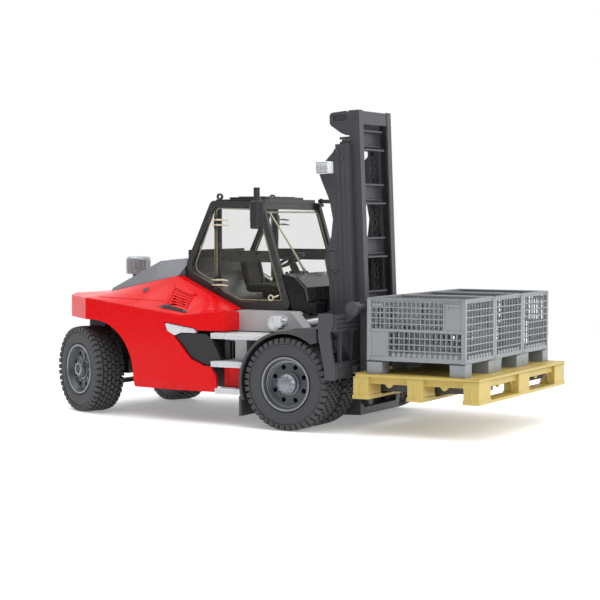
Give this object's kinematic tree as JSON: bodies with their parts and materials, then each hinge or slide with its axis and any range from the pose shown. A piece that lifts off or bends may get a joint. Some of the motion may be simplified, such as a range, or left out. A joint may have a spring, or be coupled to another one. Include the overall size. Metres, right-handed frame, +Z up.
{
  "type": "toy forklift",
  "caption": "Toy counterbalance forklift with a cab, telescoping tilting mast, sliding forks, steered rear wheels, a pallet and cage crates.",
  "frame": {"origin": "middle of the floor rectangle of the whole toy as posed, on the ground", "axes": "+X towards the forks, +Y towards the driver's left, +Z up"},
  "size_m": [0.3944, 0.19, 0.2411],
  "materials": {
    "red_plastic": "glossy moulded, light orange peel",
    "black_plastic": "matt moulded",
    "mast_plastic": "satin moulded charcoal",
    "cab_plastic": "satin dark grey",
    "hood_plastic": "satin dark grey",
    "light_grey_plastic": "satin light grey",
    "silver_plastic": "silver pigmented, satin",
    "clear_plastic": "smoke tinted clear moulding",
    "lamp_plastic": "clear lamp",
    "tyre": "soft matt vinyl with moulded tread",
    "rim_dark": "satin grey",
    "rim_silver": "bright silver moulding",
    "pallet_plastic": "pale yellow moulding",
    "crate_plastic": "blue-grey moulding"
  },
  "bodies": {
    "chassis": {"chassis_frame": "black_plastic", "front_axle": "black_plastic", "rear_axle": "black_plastic", "rear_body_shell": "red_plastic", "side_panel_right": "red_plastic", "side_panel_left": "red_plastic", "engine_block": "black_plastic", "air_filter_stem": "black_plastic", "air_filter_cap": "silver_plastic", "accent_panels": "silver_plastic", "badge_panels": "black_plastic", "side_boxes": "light_grey_plastic", "steps_left": "silver_plastic", "steps_right": "silver_plastic", "fender_left": "mast_plastic", "fender_right": "mast_plastic", "headlamps": "lamp_plastic", "cab_base": "light_grey_plastic", "cab_frame": "cab_plastic", "cab_roof": "cab_plastic", "windscreen": "clear_plastic", "wiper": "cab_plastic", "cab_glazing": "clear_plastic", "front_cowl": "black_plastic", "driver_seat": "black_plastic", "steering_column": "black_plastic"},
    "hood": {"engine_hood": "hood_plastic"},
    "steering_wheel": {"steering_wheel": "black_plastic"},
    "door_left": {"door_left": "clear_plastic"},
    "door_right": {"door_right": "clear_plastic"},
    "mirror_left": {"mirror_left": "black_plastic"},
    "mirror_right": {"mirror_right": "black_plastic"},
    "front_wheel_left": {"front_tyres_left": "tyre", "front_rim_left": "rim_dark", "front_hub_cap_left": "silver_plastic"},
    "front_wheel_right": {"front_tyres_right": "tyre", "front_rim_right": "rim_dark", "front_hub_cap_right": "silver_plastic"},
    "knuckle_left": {"knuckle_left": "black_plastic"},
    "knuckle_right": {"knuckle_right": "black_plastic"},
    "rear_wheel_left": {"rear_tyre_left": "tyre", "rear_rim_left": "rim_silver"},
    "rear_wheel_right": {"rear_tyre_right": "tyre", "rear_rim_right": "rim_silver"},
    "tie_rod": {"tie_rod": "black_plastic"},
    "mast": {"outer_mast": "mast_plastic", "mast_fairings": "mast_plastic", "mast_lamps": "lamp_plastic"},
    "inner_mast": {"inner_mast": "mast_plastic", "lift_chains": "mast_plastic"},
    "tilt_barrels": {"tilt_barrels": "silver_plastic"},
    "tilt_rods": {"tilt_rods": "silver_plastic"},
    "carriage": {"carriage": "mast_plastic", "fork_shaft": "mast_plastic"},
    "fork_left": {"fork_left": "mast_plastic"},
    "fork_right": {"fork_right": "mast_plastic"},
    "pallet": {"pallet": "pallet_plastic"},
    "crate_right": {"crate_right": "crate_plastic"},
    "crate_middle": {"crate_middle": "crate_plastic"},
    "crate_left": {"crate_left": "crate_plastic"}
  },
  "joints": [
    {"name": "hood_hinge", "type": "hinge", "parent": "chassis", "child": "hood", "pos_m": [-0.14997, 0, 0.09847], "axis": [0, -1, 0], "range_deg": [0, 60]},
    {"name": "steering_wheel_spin", "type": "hinge", "parent": "chassis", "child": "steering_wheel", "pos_m": [-0.00297, 0, 0.1247], "axis": [-0.4695, 0, 0.8829], "continuous": true},
    {"name": "door_right_hinge", "type": "hinge", "parent": "chassis", "child": "door_right", "pos_m": [-0.04297, -0.0499, 0.0872], "axis": [0, 0, -1], "range_deg": [0, 80]},
    {"name": "door_left_hinge", "type": "hinge", "parent": "chassis", "child": "door_left", "pos_m": [-0.04297, 0.0499, 0.0872], "axis": [0, 0, 1], "range_deg": [0, 80]},
    {"name": "mirror_right_fold", "type": "hinge", "parent": "chassis", "child": "mirror_right", "pos_m": [-0.00247, -0.0505, 0.1722], "axis": [0, 0, -1], "range_deg": [-20, 60]},
    {"name": "mirror_left_fold", "type": "hinge", "parent": "chassis", "child": "mirror_left", "pos_m": [-0.00247, 0.0505, 0.1722], "axis": [0, 0, 1], "range_deg": [-20, 60]},
    {"name": "front_wheel_right_spin", "type": "hinge", "parent": "chassis", "child": "front_wheel_right", "pos_m": [0.04303, -0.0645, 0.035], "axis": [0, 1, 0], "continuous": true},
    {"name": "front_wheel_left_spin", "type": "hinge", "parent": "chassis", "child": "front_wheel_left", "pos_m": [0.04303, 0.0645, 0.035], "axis": [0, 1, 0], "continuous": true},
    {"name": "steer_right", "type": "hinge", "parent": "chassis", "child": "knuckle_right", "pos_m": [-0.15397, -0.037, 0.035], "axis": [0, 0, 1], "range_deg": [-4.5, 55.5]},
    {"name": "steer_left", "type": "hinge", "parent": "chassis", "child": "knuckle_left", "pos_m": [-0.15397, 0.037, 0.035], "axis": [0, 0, 1], "range_deg": [-4.5, 55.5]},
    {"name": "rear_wheel_right_spin", "type": "hinge", "parent": "knuckle_right", "child": "rear_wheel_right", "pos_m": [-0.15397, -0.037, 0.035], "axis": [0.4305, 0.9026, 0], "continuous": true},
    {"name": "rear_wheel_left_spin", "type": "hinge", "parent": "knuckle_left", "child": "rear_wheel_left", "pos_m": [-0.15397, 0.037, 0.035], "axis": [0.4305, 0.9026, 0], "continuous": true},
    {"name": "tie_rod_slide", "type": "slide", "parent": "chassis", "child": "tie_rod", "axis": [0, 1, 0], "range_m": [-0.00936, 0.0008]},
    {"name": "mast_tilt", "type": "hinge", "parent": "chassis", "child": "mast", "pos_m": [0.06403, 0, 0.014], "axis": [0, 1, 0], "range_deg": [-2, 5]},
    {"name": "tilt_barrel_pivot", "type": "hinge", "parent": "chassis", "child": "tilt_barrels", "pos_m": [0.03503, 0, 0.0775], "axis": [0, 1, 0], "range_deg": [-3, 3]},
    {"name": "tilt_rod_slide", "type": "slide", "parent": "tilt_barrels", "child": "tilt_rods", "axis": [0.9854, 0, 0.1702], "range_m": [-0.0024, 0.00593]},
    {"name": "inner_mast_slide", "type": "slide", "parent": "mast", "child": "inner_mast", "axis": [-0.0398, 0, 0.9992], "range_m": [0, 0.11]},
    {"name": "carriage_slide", "type": "slide", "parent": "inner_mast", "child": "carriage", "axis": [-0.0398, 0, 0.9992], "range_m": [-0.0265, 0.125]},
    {"name": "fork_right_shift", "type": "slide", "parent": "carriage", "child": "fork_right", "axis": [0, 1, 0], "range_m": [-0.0025, 0.033]},
    {"name": "fork_left_shift", "type": "slide", "parent": "carriage", "child": "fork_left", "axis": [0, -1, 0], "range_m": [-0.0025, 0.033]},
    {"name": "pallet_pull_off", "type": "slide", "parent": "carriage", "child": "pallet", "axis": [1, 0, 0], "range_m": [0, 0.12]},
    {"name": "crate_right_lift_off", "type": "slide", "parent": "pallet", "child": "crate_right", "axis": [0, 0, 1], "range_m": [0, 0.07]},
    {"name": "crate_middle_lift_off", "type": "slide", "parent": "pallet", "child": "crate_middle", "axis": [0, 0, 1], "range_m": [0, 0.07]},
    {"name": "crate_left_lift_off", "type": "slide", "parent": "pallet", "child": "crate_left", "axis": [0, 0, 1], "range_m": [0, 0.07]}
  ],
  "couplings": [
    {"joint": "steer_left", "follows": "steer_right", "ratio": 1},
    {"joint": "tie_rod_slide", "follows": "steer_right", "m_per_rad": -0.0096062},
    {"joint": "tilt_barrel_pivot", "follows": "mast_tilt", "ratio": 0.24712},
    {"joint": "tilt_rod_slide", "follows": "mast_tilt", "m_per_rad": 0.06735}
  ]
}
